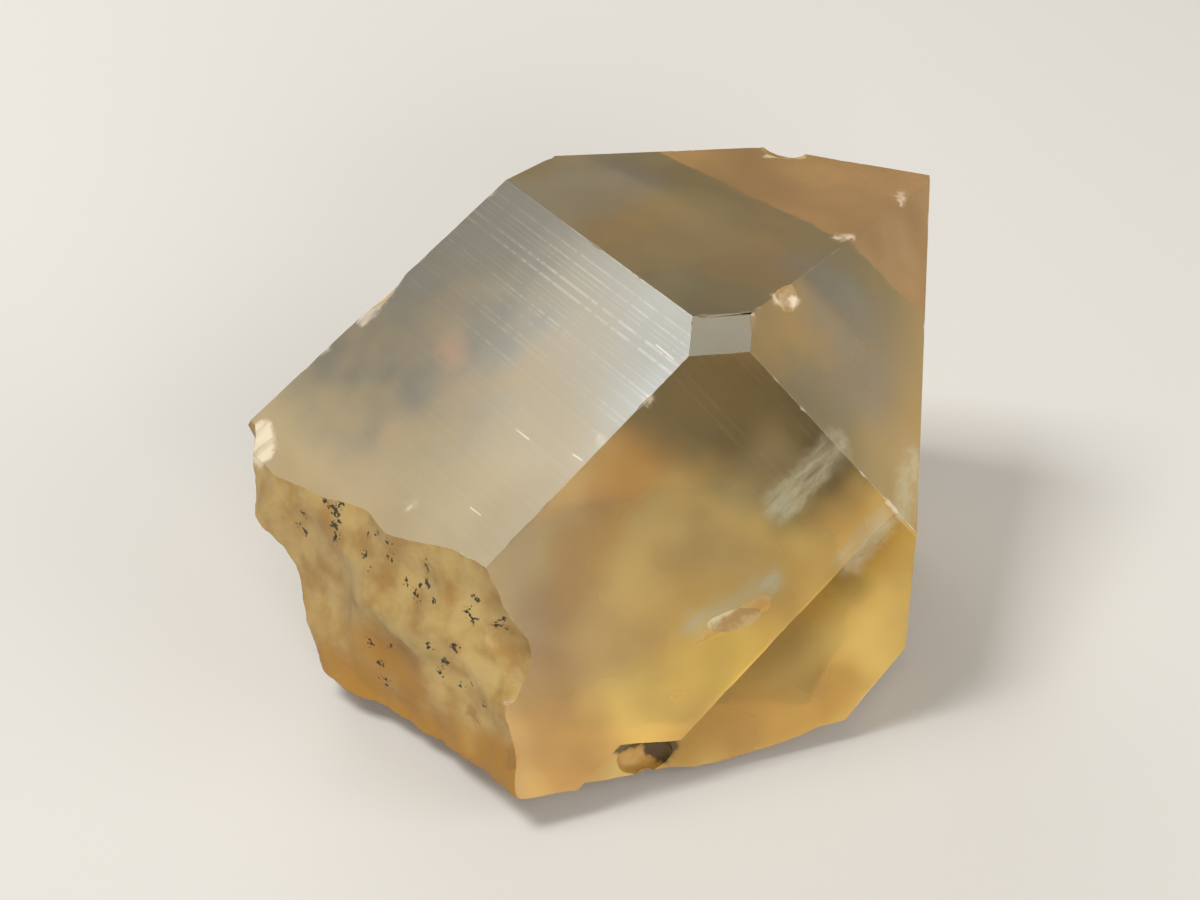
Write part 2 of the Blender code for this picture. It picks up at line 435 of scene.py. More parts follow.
        # Citrine as it grew and broke. The eye gets a soft shine on flat faces, with gold behind it that
        # deepens inwards, and a matt crumbly break that shows no depth.
        # Light and shade are also painted into the colour: a glow low down, shade higher up and under the
        # ridge, a sheen near the tip, and reflections on the point.
        material = bpy.data.materials.new("hazy_citrine_quartz")
        material.use_nodes = True
        material.node_tree.nodes.clear()
        self.add = partial(put, material.node_tree)
        self.measure()
        colour, covered = self.weathered(self.broken(self.frosted(self.grown())))
        stone = self.add(
            "ShaderNodeBsdfPrincipled",
            {
                "Base Color": colour, "Roughness": self.roughness(), "IOR": self.ior,
                "Transmission Weight": self.clear(covered), "Normal": self.relief(),
            },
        )
        depth = self.add(
            "ShaderNodeVolumeAbsorption", {"Color": self.depth_tint, "Density": self.depth_density},
        )
        self.add("ShaderNodeOutputMaterial", {"Surface": stone, "Volume": depth})
        return material

    def measure(self) -> None:
        """Lay out what the finish is worked out from: places, patterns, and values on the mesh."""
        add, read = self.add, self.read
        in_metres = add("ShaderNodeTexCoord", result="Object")
        read["place"] = add(
            "ShaderNodeMapping", {"Vector": in_metres, "Location": -HEART, "Scale": (1 / MM,) * 3},
        )
        for name in ("on_break", "on_frost", "on_edge", "on_step", "on_lines", "speck_gap"):
            read[name] = add("ShaderNodeAttribute", result="Fac", attribute_name=name)
        directions = {"height": UP, "along": ALONG, "across": ACROSS, "zone": self.zone_outward}
        for name, direction in directions.items():
            read[name] = add(
                "ShaderNodeVectorMath", (read["place"], direction), "Value", operation="DOT_PRODUCT",
            )
        squeeze = add(
            "ShaderNodeVectorMath", {0: -self.fibre_stretch * ALONG, "Scale": read["along"]},
            operation="SCALE",
        )
        drawn_out = add("ShaderNodeVectorMath", (read["place"], squeeze), operation="ADD")
        for name, where in (
            ("clouds", read["place"]), ("mottle", read["place"]), ("grain", read["place"]),
            ("grit", read["place"]), ("fibres", drawn_out),
        ):
            texture = getattr(self, name)
            read[name] = add(
                "ShaderNodeTexNoise",
                {
                    "Vector": where, "Scale": 1 / texture.span, "Detail": texture.detail,
                    "Roughness": self.evenness,
                },
                "Fac",
            )
        read["ragged"] = self.warped(self.ragged, self.ragged_throw)
        read["drifting"] = self.warped(self.drifting, self.drifting_throw)
        lift = add("ShaderNodeMapRange", (read["clouds"], *self.cloud_lift), **SMOOTH)
        read["cloudy_height"] = add("ShaderNodeMath", (read["height"], lift), operation="ADD")
        wander = add("ShaderNodeMapRange", (read["clouds"], *self.frost_wander), **SMOOTH)
        read["tipward"] = add("ShaderNodeMath", (read["along"], wander), operation="ADD")
        read["sideways"] = add("ShaderNodeMath", (read["across"], wander), operation="ADD")

    def warped(self, texture: Texture, throw: float) -> bpy.types.NodeSocket:
        """Move the place about, so that what reads it gets a natural outline.

        Args:
            texture: The pattern of the moves.
            throw: Twice the longest move along each axis, in millimetres.

        Returns:
            The moved place.
        """
        moves = self.add(
            "ShaderNodeTexNoise",
            {
                "Vector": self.read["place"], "Scale": 1 / texture.span, "Detail": texture.detail,
                "Roughness": self.evenness,
            },
            "Color",
        )
        # A pattern's colour is a half on average, so the moves go both ways.
        centred = self.add("ShaderNodeVectorMath", (moves, (0.5, 0.5, 0.5)), operation="SUBTRACT")
        return self.add(
            "ShaderNodeVectorMath", (centred, (throw,) * 3, self.read["place"]), operation="MULTIPLY_ADD",
        )

    def gap(self, marks: tuple[Mark, ...], where: bpy.types.NodeSocket) -> bpy.types.NodeSocket:
        """Work out how far a place lies outside the nearest of some marks.

        Args:
            marks: The marks.
            where: The place, in millimetres from the heart.

        Returns:
            The gap in millimetres, less than nothing inside a mark.
        """
        add = self.add
        nearest = None
        for mark in marks:
            run = mark.run()
            if run.length < SPOT_RUN:
                away = add("ShaderNodeVectorMath", (where, mark.start), "Value", operation="DISTANCE")
            else:
                offset = add("ShaderNodeVectorMath", (where, mark.start), operation="SUBTRACT")
                ahead = add(
                    "ShaderNodeVectorMath", (offset, run / run.length_squared), "Value",
                    operation="DOT_PRODUCT",
                )
                share = add("ShaderNodeClamp", (ahead,))
                beside = add("ShaderNodeVectorMath", {0: run, "Scale": share}, operation="SCALE")
                away = add("ShaderNodeVectorMath", (offset, beside), "Value", operation="DISTANCE")
            outside = add("ShaderNodeMath", (away, mark.radius), operation="SUBTRACT")
            if nearest is None:
                nearest = outside
            else:
                nearest = add("ShaderNodeMath", (nearest, outside), operation="MINIMUM")
        return nearest

    def shown(self, tint: Tint) -> bpy.types.NodeSocket:
        """Work out how strongly a tint shows.

        Args:
            tint: The tint.

        Returns:
            Its strength inside its marks, fading smoothly to nothing outside them.
        """
        gap = self.gap(tint.marks, self.read[tint.outline.value])
        return self.add("ShaderNodeMapRange", (gap, *Fade(tint.fade, 0.0, 0.0, tint.strength)), **SMOOTH)

    def layered(self, base: object, *layers: tuple[bpy.types.NodeSocket, object]) -> bpy.types.NodeSocket:
        """Lay colours over a first one, each by its own share.

        Args:
            base: The lowest colour, as sRGB hex or an output.
            layers: The share and the colour of each layer, from the lowest up.

        Returns:
            The colour that shows.
        """
        for share, colour in layers:
            below, above = (linear(c) if isinstance(c, str) else c for c in (base, colour))
            base = self.add("ShaderNodeMix", {"Factor": share, 6: below, 7: above}, 2, data_type="RGBA")
        return base

    def grown(self) -> bpy.types.NodeSocket:
        """Colour the depth that clear faces show, with painted light, shade and reflection in it.

        Returns:
            The colour.
        """
        add, read = self.add, self.read
        ripple = add("ShaderNodeMapRange", (read["mottle"], *self.zone_ripple), **SMOOTH)
        zone = add("ShaderNodeMath", (read["zone"], ripple), operation="ADD")
        off_ridge = self.gap(STEP_RIDGE, read["place"])
        under_frost = add("ShaderNodeMapRange", (read["on_frost"], *self.olive_on_frost), **SMOOTH)
        # Painted shade: dark amber under the ridge of the deeper strip, pale gold further off.
        strip = self.layered(
            self.ridge_shade_amber,
            (add("ShaderNodeMapRange", (off_ridge, *self.ridge_shade_fade), **SMOOTH), self.pale_gold),
        )
        return self.layered(
            self.low_gold,
            # Painted light and shade by height: lighter gold low down, amber above it, smoky higher up.
            (add("ShaderNodeMapRange", (read["cloudy_height"], *self.amber_rise), **SMOOTH), self.amber),
            (add("ShaderNodeMapRange", (read["cloudy_height"], *self.smoky_shade_rise), **SMOOTH), self.smoky_shade),
            # Painted light: orange past a plane near the tip, for light seen through the back faces.
            (add("ShaderNodeMapRange", (zone, *self.zone_edge), **SMOOTH), self.orange_through_light),
            # Painted light: the golden glow.
            (self.shown(PAINTED_GLOW), PAINTED_GLOW.colour),
            (read["on_step"], strip),
            (self.shown(AMBER_STREAKS), AMBER_STREAKS.colour),
            # Painted shade: dark olive under the bevel, weaker under frost.
            (
                add("ShaderNodeMath", (self.shown(OLIVE_SHADE), under_frost), operation="MULTIPLY"),
                OLIVE_SHADE.colour,
            ),
            (self.shown(VEILS), VEILS.colour),
            # Painted reflection: the grey patches.
            (self.shown(GREY_REFLECTIONS), GREY_REFLECTIONS.colour),
        )

    def frosted(self, depth: bpy.types.NodeSocket) -> bpy.types.NodeSocket:
        """Lay the frost of the satin faces, with its painted sheen, glow and shade, and the light on their
        growth lines over the depth.

        Args:
            depth: The colour of the depth.

        Returns:
            The colour.
        """
        add, read = self.add, self.read
        cover = add("ShaderNodeMapRange", (read["clouds"], *self.frost_cover), **SMOOTH)
        # Painted light and shade on the frost: silver sheen towards the tip and grey shade round the side,
        # over a warm glow near the break.
        sheened_frost = self.layered(
            self.glow_warm_frost,
            (add("ShaderNodeMapRange", (read["tipward"], *self.sheen_tipward), **SMOOTH), self.sheen_silver),
        )
        shaded_frost = self.layered(
            self.glow_warm_frost,
            (add("ShaderNodeMapRange", (read["tipward"], *self.shade_tipward), **SMOOTH), self.shade_grey_frost),
        )
        shade_round_side = add("ShaderNodeMapRange", (read["sideways"], *self.shade_sideways), **SMOOTH)
        rings = add(
            "ShaderNodeTexNoise",
            {"W": read["along"], "Scale": 1 / self.rings.span, "Detail": self.rings.detail}, "Fac",
            noise_dimensions="1D",
        )
        caught = add("ShaderNodeMapRange", (rings, *self.ring_levels), **SMOOTH)
        for share in (
            add("ShaderNodeMapRange", (read["tipward"], *self.ring_tipward), **SMOOTH),
            add("ShaderNodeMapRange", (read["fibres"], *self.ring_fibres), **SMOOTH),
            add("ShaderNodeMapRange", (read["sideways"], *self.ring_sideways), **SMOOTH),
            read["on_lines"],
        ):
            caught = add("ShaderNodeMath", (caught, share), operation="MULTIPLY")
        return self.layered(
            depth,
            (
                add("ShaderNodeMath", (read["on_frost"], cover), operation="MULTIPLY"),
                self.layered(sheened_frost, (shade_round_side, shaded_frost)),
            ),
            (caught, self.striae),
        )

    def broken(self, grown: bpy.types.NodeSocket) -> bpy.types.NodeSocket:
        """Lay the skin of the break over the colour of the growth faces.

        Args:
            grown: The colour of the growth faces.

        Returns:
            The colour.
        """
        add, read = self.add, self.read
        crust = self.layered(
            self.cream,
            (add("ShaderNodeMapRange", (read["mottle"], *self.ochre_patches), **SMOOTH), self.ochre),
            (add("ShaderNodeMapRange", (read["cloudy_height"], *self.honey_depth), **SMOOTH), self.honey),
        )
        return self.layered(grown, (read["on_break"], crust))

    def weathered(
        self, fresh: bpy.types.NodeSocket,
    ) -> tuple[bpy.types.NodeSocket, bpy.types.NodeSocket]:
        """Lay wear, wisps, stains, bruises and specks over the rest.

        Args:
            fresh: The colour of the unworn stone.

        Returns:
            The colour, and how much of the skin is covered by what light doesn't go through.
        """
        add, read = self.add, self.read
        wisp_fibres = add("ShaderNodeMapRange", (read["fibres"], *self.wisp_fibres), **SMOOTH)
        wisp = add("ShaderNodeMath", (self.shown(WISPS), wisp_fibres), operation="MULTIPLY")
        stain = self.shown(STAINS)
        bruise_fibres = add("ShaderNodeMapRange", (read["fibres"], *self.bruise_fibres), **SMOOTH)
        bruise = add("ShaderNodeMath", (self.shown(BRUISES), bruise_fibres), operation="MULTIPLY")
        bruise = add("ShaderNodeMath", (bruise, self.shown(SCRATCHES)), operation="MAXIMUM")
        frayed = add("ShaderNodeMath", (read["grit"], self.speck_fray), operation="MULTIPLY")
        speck_gap = add("ShaderNodeMath", (read["speck_gap"], frayed), operation="ADD")
        speck = add("ShaderNodeMapRange", (speck_gap, *self.speck_edge), **SMOOTH)
        speck = add("ShaderNodeMath", (speck, read["on_break"]), operation="MULTIPLY")
        dark = add("ShaderNodeMath", (self.shown(DARK_MARKS), speck), operation="MAXIMUM")
        covered = add("ShaderNodeMath", (bruise, dark), operation="MAXIMUM")
        colour = self.layered(
            fresh,
            (
                # Lightened worn edges: partly real wear, partly a painted highlight.
                add("ShaderNodeMath", (read["on_edge"], self.edge_wear_and_glint), operation="MULTIPLY"),
                BRUISES.colour,
            ),
            (wisp, WISPS.colour),
            (self.shown(BLUSH), BLUSH.colour),
            (stain, STAINS.colour),
            (bruise, BRUISES.colour),
            (dark, DARK_MARKS.colour),
        )
        return colour, add("ShaderNodeMath", (covered, stain), operation="MAXIMUM")

    def clear(self, covered: bpy.types.NodeSocket) -> bpy.types.NodeSocket:
        """Work out how much light goes into the stone.

        Args:
            covered: How much of the skin is covered by what light doesn't go through.

        Returns:
            The share of the light.
        """
        add, read = self.add, self.read
        share = add("ShaderNodeMapRange", (read["clouds"], *self.clearness), **SMOOTH)
        for place, dulls in (("on_frost", self.frost_dulls), ("on_break", self.break_dulls)):
            share = add("ShaderNodeMath", (read[place], dulls, share), operation="MULTIPLY_ADD")
        uncovered = add("ShaderNodeMapRange", (covered, *self.marks_dull), **SMOOTH)
        return add("ShaderNodeMath", (share, uncovered), operation="MULTIPLY")

    def roughness(self) -> bpy.types.NodeSocket:
        """Work out the roughness of the skin.

        Returns:
            The roughness.
        """
        add, read = self.add, self.read
        rough = self.face_roughness
        for place, adds in (("on_frost", self.frost_roughness), ("on_break", self.break_roughness)):
            rough = add("ShaderNodeMath", (read[place], adds, rough), operation="MULTIPLY_ADD")
        grain = add("ShaderNodeMapRange", (read["grain"], *self.grain_roughness), **SMOOTH)
        return add("ShaderNodeMath", (rough, grain), operation="ADD")

    def relief(self) -> bpy.types.NodeSocket:
        """Raise the grain of the skin, faintly on the faces and fully on the break.

        Returns:
            The direction that the skin faces.
        """
        add, read = self.add, self.read
        share = add("ShaderNodeMapRange", (read["on_break"], *self.grain_relief), **SMOOTH)
        height = add("ShaderNodeMath", (read["grain"], share), operation="MULTIPLY")
        return add(
            "ShaderNodeBump", {"Height": height, "Distance": self.grain_height * MM, "Strength": 1.0},
        )


@dataclass
class GrowthLines:
    """Growth lines: shallow steps that ring the prism faces, square to the long axis.

    The steps are up to 14 micrometres high. They are faint below one level along the axis, and fully
    grown above another, and broader bands weaken some of them.
    """

    spacing: float = 0.16
    spacing_least: float = 0.6
    spacing_most: float = 1.5
    height: float = 0.014
    span: float = 0.5
    faint_level: float = 3.0
    full_level: float = 12.0
    seed: int = 7
    step_detail: float = 3.0
    step_evenness: float = 0.7
    step_levels: Fade = Fade(0.25, 0.75, -1.0, 0.0)
    band_scale: float = 0.16
    band_detail: float = 2.0
    band_evenness: float = 0.5
    band_levels: Fade = Fade(0.35, 0.6, 0.15, 1.0)
    faint_share: float = 0.35
    sockets: dict[str, str] = field(default_factory=dict)

    def tree(self) -> bpy.types.NodeTree:
        """Build the geometry node tree that moves the prism faces in and out.

        Returns:
            The node tree, with named inputs for its sizes.
        """
        tree = bpy.data.node_groups.new("growth_lines", "GeometryNodeTree")
        face = tree.interface
        face.new_socket("Geometry", in_out="INPUT", socket_type="NodeSocketGeometry")
        for name, kind in (
            ("Long axis", "NodeSocketVector"),
            ("Line span", "NodeSocketFloat"),
            ("Line height", "NodeSocketFloat"),
            ("Faint level", "NodeSocketFloat"),
            ("Full level", "NodeSocketFloat"),
            ("Seed", "NodeSocketInt"),
            ("Finish", "NodeSocketMaterial"),
        ):
            self.sockets[name] = face.new_socket(name, in_out="INPUT", socket_type=kind).identifier
        face.new_socket("Geometry", in_out="OUTPUT", socket_type="NodeSocketGeometry")
        add = partial(put, tree)
        given = add("NodeGroupInput").node.outputs
        corner = add("GeometryNodeInputPosition")
        level = add("ShaderNodeVectorMath", (corner, given["Long axis"]), "Value", operation="DOT_PRODUCT")
        ring = add("ShaderNodeMath", (level, given["Line span"]), operation="DIVIDE")
        shifted = add("ShaderNodeMath", (ring, given["Seed"]), operation="ADD")
        steps = add(
            "ShaderNodeTexNoise",
            {"W": shifted, "Scale": 1.0, "Detail": self.step_detail, "Roughness": self.step_evenness},
            "Fac", noise_dimensions="1D",
        )
        bands = add(
            "ShaderNodeTexNoise",
            {
                "W": shifted, "Scale": self.band_scale, "Detail": self.band_detail,
                "Roughness": self.band_evenness,
            },
            "Fac", noise_dimensions="1D",
        )
        lift = add("ShaderNodeMapRange", (steps, *self.step_levels))
        strength = add("ShaderNodeMapRange", (bands, *self.band_levels))
        towards_tip = add(
            "ShaderNodeMapRange",
            (level, given["Faint level"], given["Full level"], self.faint_share, 1.0),
        )
        tallest = add("ShaderNodeMath", (towards_tip, given["Line height"]), operation="MULTIPLY")
        tall = add("ShaderNodeMath", (strength, tallest), operation="MULTIPLY")
        rise = add("ShaderNodeMath", (lift, tall), operation="MULTIPLY")
        outward = add(
            "GeometryNodeInputNamedAttribute", {"Name": "growth_out"}, "Attribute",
            data_type="FLOAT_VECTOR",
        )
        offset = add("ShaderNodeVectorMath", {0: outward, "Scale": rise}, operation="SCALE")
        moved = add("GeometryNodeSetPosition", {"Geometry": given["Geometry"], "Offset": offset})
        plain = add("GeometryNodeRealizeInstances", {"Geometry": moved})
        dressed = add("GeometryNodeSetMaterial", {"Geometry": plain, "Material": given["Finish"]})
        add("NodeGroupOutput", {"Geometry": dressed})
        return tree

    def ring(self, stone: bpy.types.Object, finish: bpy.types.Material) -> None:
        """Move the prism faces and leave a plain mesh.

        Args:
            stone: The stone, with its outward moves stored on its points.
            finish: The material that the result carries.
        """
        lines = stone.modifiers.new("growth_lines", "NODES")
        lines.node_group = self.tree()
        for name, value in (
            ("Long axis", tuple(ALONG)),
            ("Line span", self.span * MM),
            ("Line height", self.height * MM),
            ("Faint level", self.faint_level * MM),
            ("Full level", self.full_level * MM),
            ("Seed", self.seed),
            ("Finish", finish),
        ):
            lines[self.sockets[name]] = value
        ready = stone.evaluated_get(bpy.context.evaluated_depsgraph_get())
        plain = bpy.data.meshes.new_from_object(ready)
        stone.modifiers.remove(lines)
        stone.data = plain


@dataclass
class CrystalBody:
    """The whole stone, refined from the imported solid."""

    node: str = "citrine_crystal"
    merge_gap: float = 0.002

    # What counts as a growth face: a flat of at least this area, and faces this close to it.
    flat_angle: float = 0.3
    growth_area: float = 2.0
    flat_gap: float = 0.12
    flat_likeness: float = 0.99
    whole_angle: float = 1.2
    sliver_area: float = 0.6
    prism_lean: float = 0.08
    cut_gap: float = 1e-4
    same_plane: float = 0.9999
    step_likeness: float = 0.9996

    # Edges between growth faces: how wide they are worn and how deep the nicks go.
    sharp_angle: float = 1.5
    wear_width: float = 0.07
    wear_step: float = 0.22
    wear_likeness: float = 0.999
    nick_span: float = 1.6
    nick_fine_span: float = 0.4
    nick_fine_share: float = 0.4
    nick_threshold: float = 0.2
    nick_depth: float = 0.10
    slide_least: float = 0.05

    # The break: how fine its faces get, and its small lumps.
    break_edge: float = 0.34
    break_rounds: int = 3
    settle_rounds: int = 2
    settle_share: float = 0.5
    lump_span: float = 1.5
    lump_height: float = 0.10
    lump_evenness: float = 0.9
    lump_finer: float = 2.0
    lump_sizes: int = 3
    lines: GrowthLines = field(default_factory=GrowthLines)

    def build(self, finish: bpy.types.Material) -> bpy.types.Object:
        """Build the finer stone.

        Args:
            finish: The material that dresses it.

        Returns:
            The stone as one plain, closed mesh object.
        """
        mesh = self.merged_copy()
        kinds = mesh.faces.layers.int.new("kind")
        self.sort_faces(mesh, kinds)
        self.wear_edges(mesh, kinds)
        self.cut_lines(mesh, kinds)
        self.refine_break(mesh, kinds)
        self.roughen_break(mesh, kinds)
        stone = self.dressed(mesh, kinds)
        self.lines.ring(stone, finish)
        return stone

    def merged_copy(self) -> bmesh.types.BMesh:
        """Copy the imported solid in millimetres, with its corners merged.

        Returns:
            The copy.
        """
        mesh = bmesh.new()
        mesh.from_mesh(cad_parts[self.node].data)
        bmesh.ops.scale(mesh, verts=mesh.verts[:], vec=(1 / MM,) * 3)
        bmesh.ops.remove_doubles(mesh, verts=mesh.verts[:], dist=self.merge_gap)
        mesh.normal_update()
        return mesh

    def flats(self, mesh: bmesh.types.BMesh) -> list[tuple[Vector, float]]:
        """Find the large flats.

        Args:
            mesh: The stone.

        Returns:
            The outward direction of each flat and its distance from the frame's origin.
        """
        whole = mesh.copy()
        bmesh.ops.dissolve_limit(
            whole, angle_limit=math.radians(self.flat_angle), verts=whole.verts[:], edges=whole.edges[:],
        )
        found = [
            (face.normal.copy(), face.normal.dot(face.verts[0].co))
            for face in whole.faces if face.calc_area() > self.growth_area
        ]
        whole.free()
        return found

    def sort_faces(self, mesh: bmesh.types.BMesh, kinds: bmesh.types.BMLayerItem) -> None:
        """Mark each face as growth, break or resting flat, and make the growth faces whole.

        Args:
            mesh: The stone.
            kinds: The layer that says what each face is.
        """
        flats = self.flats(mesh)
        for face in mesh.faces:
            face[kinds] = Surface.BREAK
            for outward, distance in flats:
                off = max(abs(corner.co.dot(outward) - distance) for corner in face.verts)
                if face.normal.dot(outward) > self.flat_likeness and off < self.flat_gap:
                    face[kinds] = Surface.REST if outward.z < -self.flat_likeness else Surface.GROWTH
                    break
        whole = [edge for edge in mesh.edges if all(f[kinds] != Surface.BREAK for f in edge.link_faces)]
        corners = dict.fromkeys(corner for edge in whole for corner in edge.verts)
        bmesh.ops.dissolve_limit(
            mesh, angle_limit=math.radians(self.whole_angle), verts=list(corners), edges=whole,
        )
        for face in mesh.faces:
            if face.calc_area() < self.sliver_area and face[kinds] == Surface.GROWTH:
                face[kinds] = Surface.BREAK
        mesh.normal_update()

    def wear_edges(self, mesh: bmesh.types.BMesh, kinds: bmesh.types.BMLayerItem) -> None:
        """Take the sharpness off the edges between growth faces, with small nicks.

        Args:
            mesh: The stone.
            kinds: The layer that says what each face is.
        """
        sharp = [
            edge for edge in mesh.edges
            if all(face[kinds] == Surface.GROWTH for face in edge.link_faces)
            and edge.calc_face_angle() > math.radians(self.sharp_angle)
        ]
        made = bmesh.ops.bevel(
            mesh, geom=sharp, offset=self.wear_width, offset_type="OFFSET", segments=1,
            profile=0.5, affect="EDGES", clamp_overlap=True,
        )
        for face in made["faces"]:
            face[kinds] = Surface.EDGE
        mesh.normal_update()
        long_sides = [
            edge for edge in mesh.edges
            if edge.calc_length() > 2 * self.wear_step
            and {face[kinds] for face in edge.link_faces} == {Surface.EDGE, Surface.GROWTH}
        ]
        self.nick(mesh, kinds, long_sides)

    def nick(
        self,
        mesh: bmesh.types.BMesh,
        kinds: bmesh.types.BMLayerItem,
        long_sides: list[bmesh.types.BMEdge],
    ) -> None:
        """Cut the worn strips into short lengths and wear some of them deeper.

        Args:
            mesh: The stone.
            kinds: The layer that says what each face is.
            long_sides: The edges along both sides of the worn strips.
        """
        strips = {}
        for edge in long_sides:
            worn = next(face for face in edge.link_faces if face[kinds] == Surface.EDGE)
            strips.setdefault(worn, []).append(edge)
        for sides in strips.values():
            cuts = max(1, int(max(side.calc_length() for side in sides) / self.wear_step))
            bmesh.ops.subdivide_edges(mesh, edges=sides, cuts=cuts, use_grid_fill=True)
        mesh.normal_update()
        moves = {}
        for corner in mesh.verts:
            worn = [face for face in corner.link_faces if face[kinds] == Surface.EDGE]
            flats = [face for face in corner.link_faces if face[kinds] == Surface.GROWTH]
            if not worn or len(flats) != 1 or len(corner.link_faces) > len(worn) + 1:
                continue
            outward = worn[0].normal
            if any(face.normal.dot(outward) < self.wear_likeness for face in worn):
                continue
            flat = flats[0].normal
            slide = flat * outward.dot(flat) - outward
            fine = self.nick_fine_share * noise.noise(corner.co / self.nick_fine_span)
            chance = noise.noise(corner.co / self.nick_span) + fine
            depth = self.nick_depth * max(0.0, chance - self.nick_threshold)
            if slide.length > self.slide_least:
                moves[corner] = slide * (depth / slide.length ** 2)
        for corner, move in moves.items():
            corner.co += move

    def refine_break(self, mesh: bmesh.types.BMesh, kinds: bmesh.types.BMLayerItem) -> None:
        """Divide the break until hardly any edge is longer than the limit.

        Args:
            mesh: The stone.
            kinds: The layer that says what each face is.
        """
        for _ in range(self.break_rounds):
            self.triangulate_break(mesh, kinds)
            long_edges = [
                edge for edge in mesh.edges
                if edge.calc_length() > self.break_edge
                and any(face[kinds] == Surface.BREAK for face in edge.link_faces)
            ]
            bmesh.ops.subdivide_edges(mesh, edges=long_edges, cuts=1)
        self.triangulate_break(mesh, kinds)

    def triangulate_break(self, mesh: bmesh.types.BMesh, kinds: bmesh.types.BMLayerItem) -> None:
        """Make the break triangles, without the flat ears that can meet on one edge.

        Args:
            mesh: The stone.
            kinds: The layer that says what each face is.
        """
        rough = [face for face in mesh.faces if face[kinds] == Surface.BREAK]
        bmesh.ops.triangulate(mesh, faces=rough)
        ears = [
            corner for corner in mesh.verts
            if len(corner.link_edges) == 2 and all(len(face.verts) == 3 for face in corner.link_faces)
        ]
        bmesh.ops.delete(mesh, geom=ears, context="VERTS")

    def free_corners(
        self, mesh: bmesh.types.BMesh, kinds: bmesh.types.BMLayerItem,
    ) -> dict[bmesh.types.BMVert, list[Vector]]:
        """Find the corners of the break that may move.

        Args:
            mesh: The stone.
            kinds: The layer that says what each face is.

        Returns:
            Each such corner, with the flat beside it that it has to stay on, if there is one.
        """
        free = {}
        for corner in mesh.verts:
            if not any(face[kinds] == Surface.BREAK for face in corner.link_faces):
                continue
            flats = []
            for face in corner.link_faces:
                apart = all(face.normal.dot(flat) < self.same_plane for flat in flats)
                if face[kinds] != Surface.BREAK and apart:
                    flats.append(face.normal.copy())
            if len(flats) < 2:
                free[corner] = flats
        return free

    def roughen_break(self, mesh: bmesh.types.BMesh, kinds: bmesh.types.BMLayerItem) -> None:
        """Round the break's facets, then raise small lumps, keeping its rim on the growth faces.

        Args:
            mesh: The stone.
            kinds: The layer that says what each face is.
        """
        mesh.normal_update()
        free = self.free_corners(mesh, kinds)
        for _ in range(self.settle_rounds):
            settled = {}
            for corner, flats in free.items():
                near = [
                    edge.other_vert(corner).co for edge in corner.link_edges
                    if not flats or {f[kinds] == Surface.BREAK for f in edge.link_faces} == {True, False}
                ]
                if near:
                    middle = sum(near, Vector()) / len(near)
                    move = (middle - corner.co) * self.settle_share
                    for flat in flats:
                        move -= flat * move.dot(flat)
                    settled[corner] = corner.co + move
            for corner, place in settled.items():
                corner.co = place
        mesh.normal_update()
        for corner, flats in free.items():
            lump = noise.fractal(
                corner.co / self.lump_span, self.lump_evenness, self.lump_finer, self.lump_sizes,
            )
            move = corner.normal * (lump * self.lump_height)
            for flat in flats:
                move -= flat * move.dot(flat)
            corner.co += move
            corner.co.z = max(corner.co.z, 0.0)

    def on_prism(self, face: bmesh.types.BMFace, kinds: bmesh.types.BMLayerItem) -> bool:
        """Return whether a face is part of a prism face."""
        return face[kinds] == Surface.GROWTH and abs(face.normal.dot(ALONG)) < self.prism_lean

    def cut_lines(self, mesh: bmesh.types.BMesh, kinds: bmesh.types.BMLayerItem) -> None:
        """Cut the prism faces square to the long axis, where their growth lines run.

        Args:
            mesh: The stone.
            kinds: The layer that says what each face is.
        """
        draw = random.Random(self.lines.seed)
        levels = [
            corner.co.dot(ALONG) for face in mesh.faces if self.on_prism(face, kinds)
            for corner in face.verts
        ]
        level = min(levels)
        highest = max(levels)
        while level < highest:
            level += self.lines.spacing * draw.uniform(self.lines.spacing_least, self.lines.spacing_most)
            crossed = [face for face in mesh.faces if self.on_prism(face, kinds)]
            near = dict.fromkeys(crossed)
            for face in crossed:
                near.update(dict.fromkeys(face.edges))
                near.update(dict.fromkeys(face.verts))
            bmesh.ops.bisect_plane(
                mesh, geom=list(near), dist=self.cut_gap, plane_co=ALONG * level, plane_no=ALONG,
            )

    def finish_of(self, face: bmesh.types.BMFace) -> FaceFinish:
        """Return the finish of the growth face that a face belongs to."""
        return max(FACE_FINISHES, key=lambda finish: finish.pole().dot(face.normal))

    def scattered_specks(self, mesh: bmesh.types.BMesh) -> list[tuple[Vector, float]]:
        """Scatter the dark specks over their patches of the skin.

        Args:
            mesh: The finished shape in millimetres.

        Returns:
            The middle and the radius of each speck.
        """
        skin = BVHTree.FromBMesh(mesh)
        draw = random.Random(SPECK_SEED)
        specks = []
        for patch in SPECK_PATCHES:
            for _ in range(patch.count):
                thrown = Vector([draw.uniform(-patch.reach, patch.reach) for _ in range(3)])
                middle = skin.find_nearest(HEART + Vector(patch.middle) + thrown)[0]
                specks.append((middle, draw.uniform(patch.smallest, patch.largest)))
        return specks

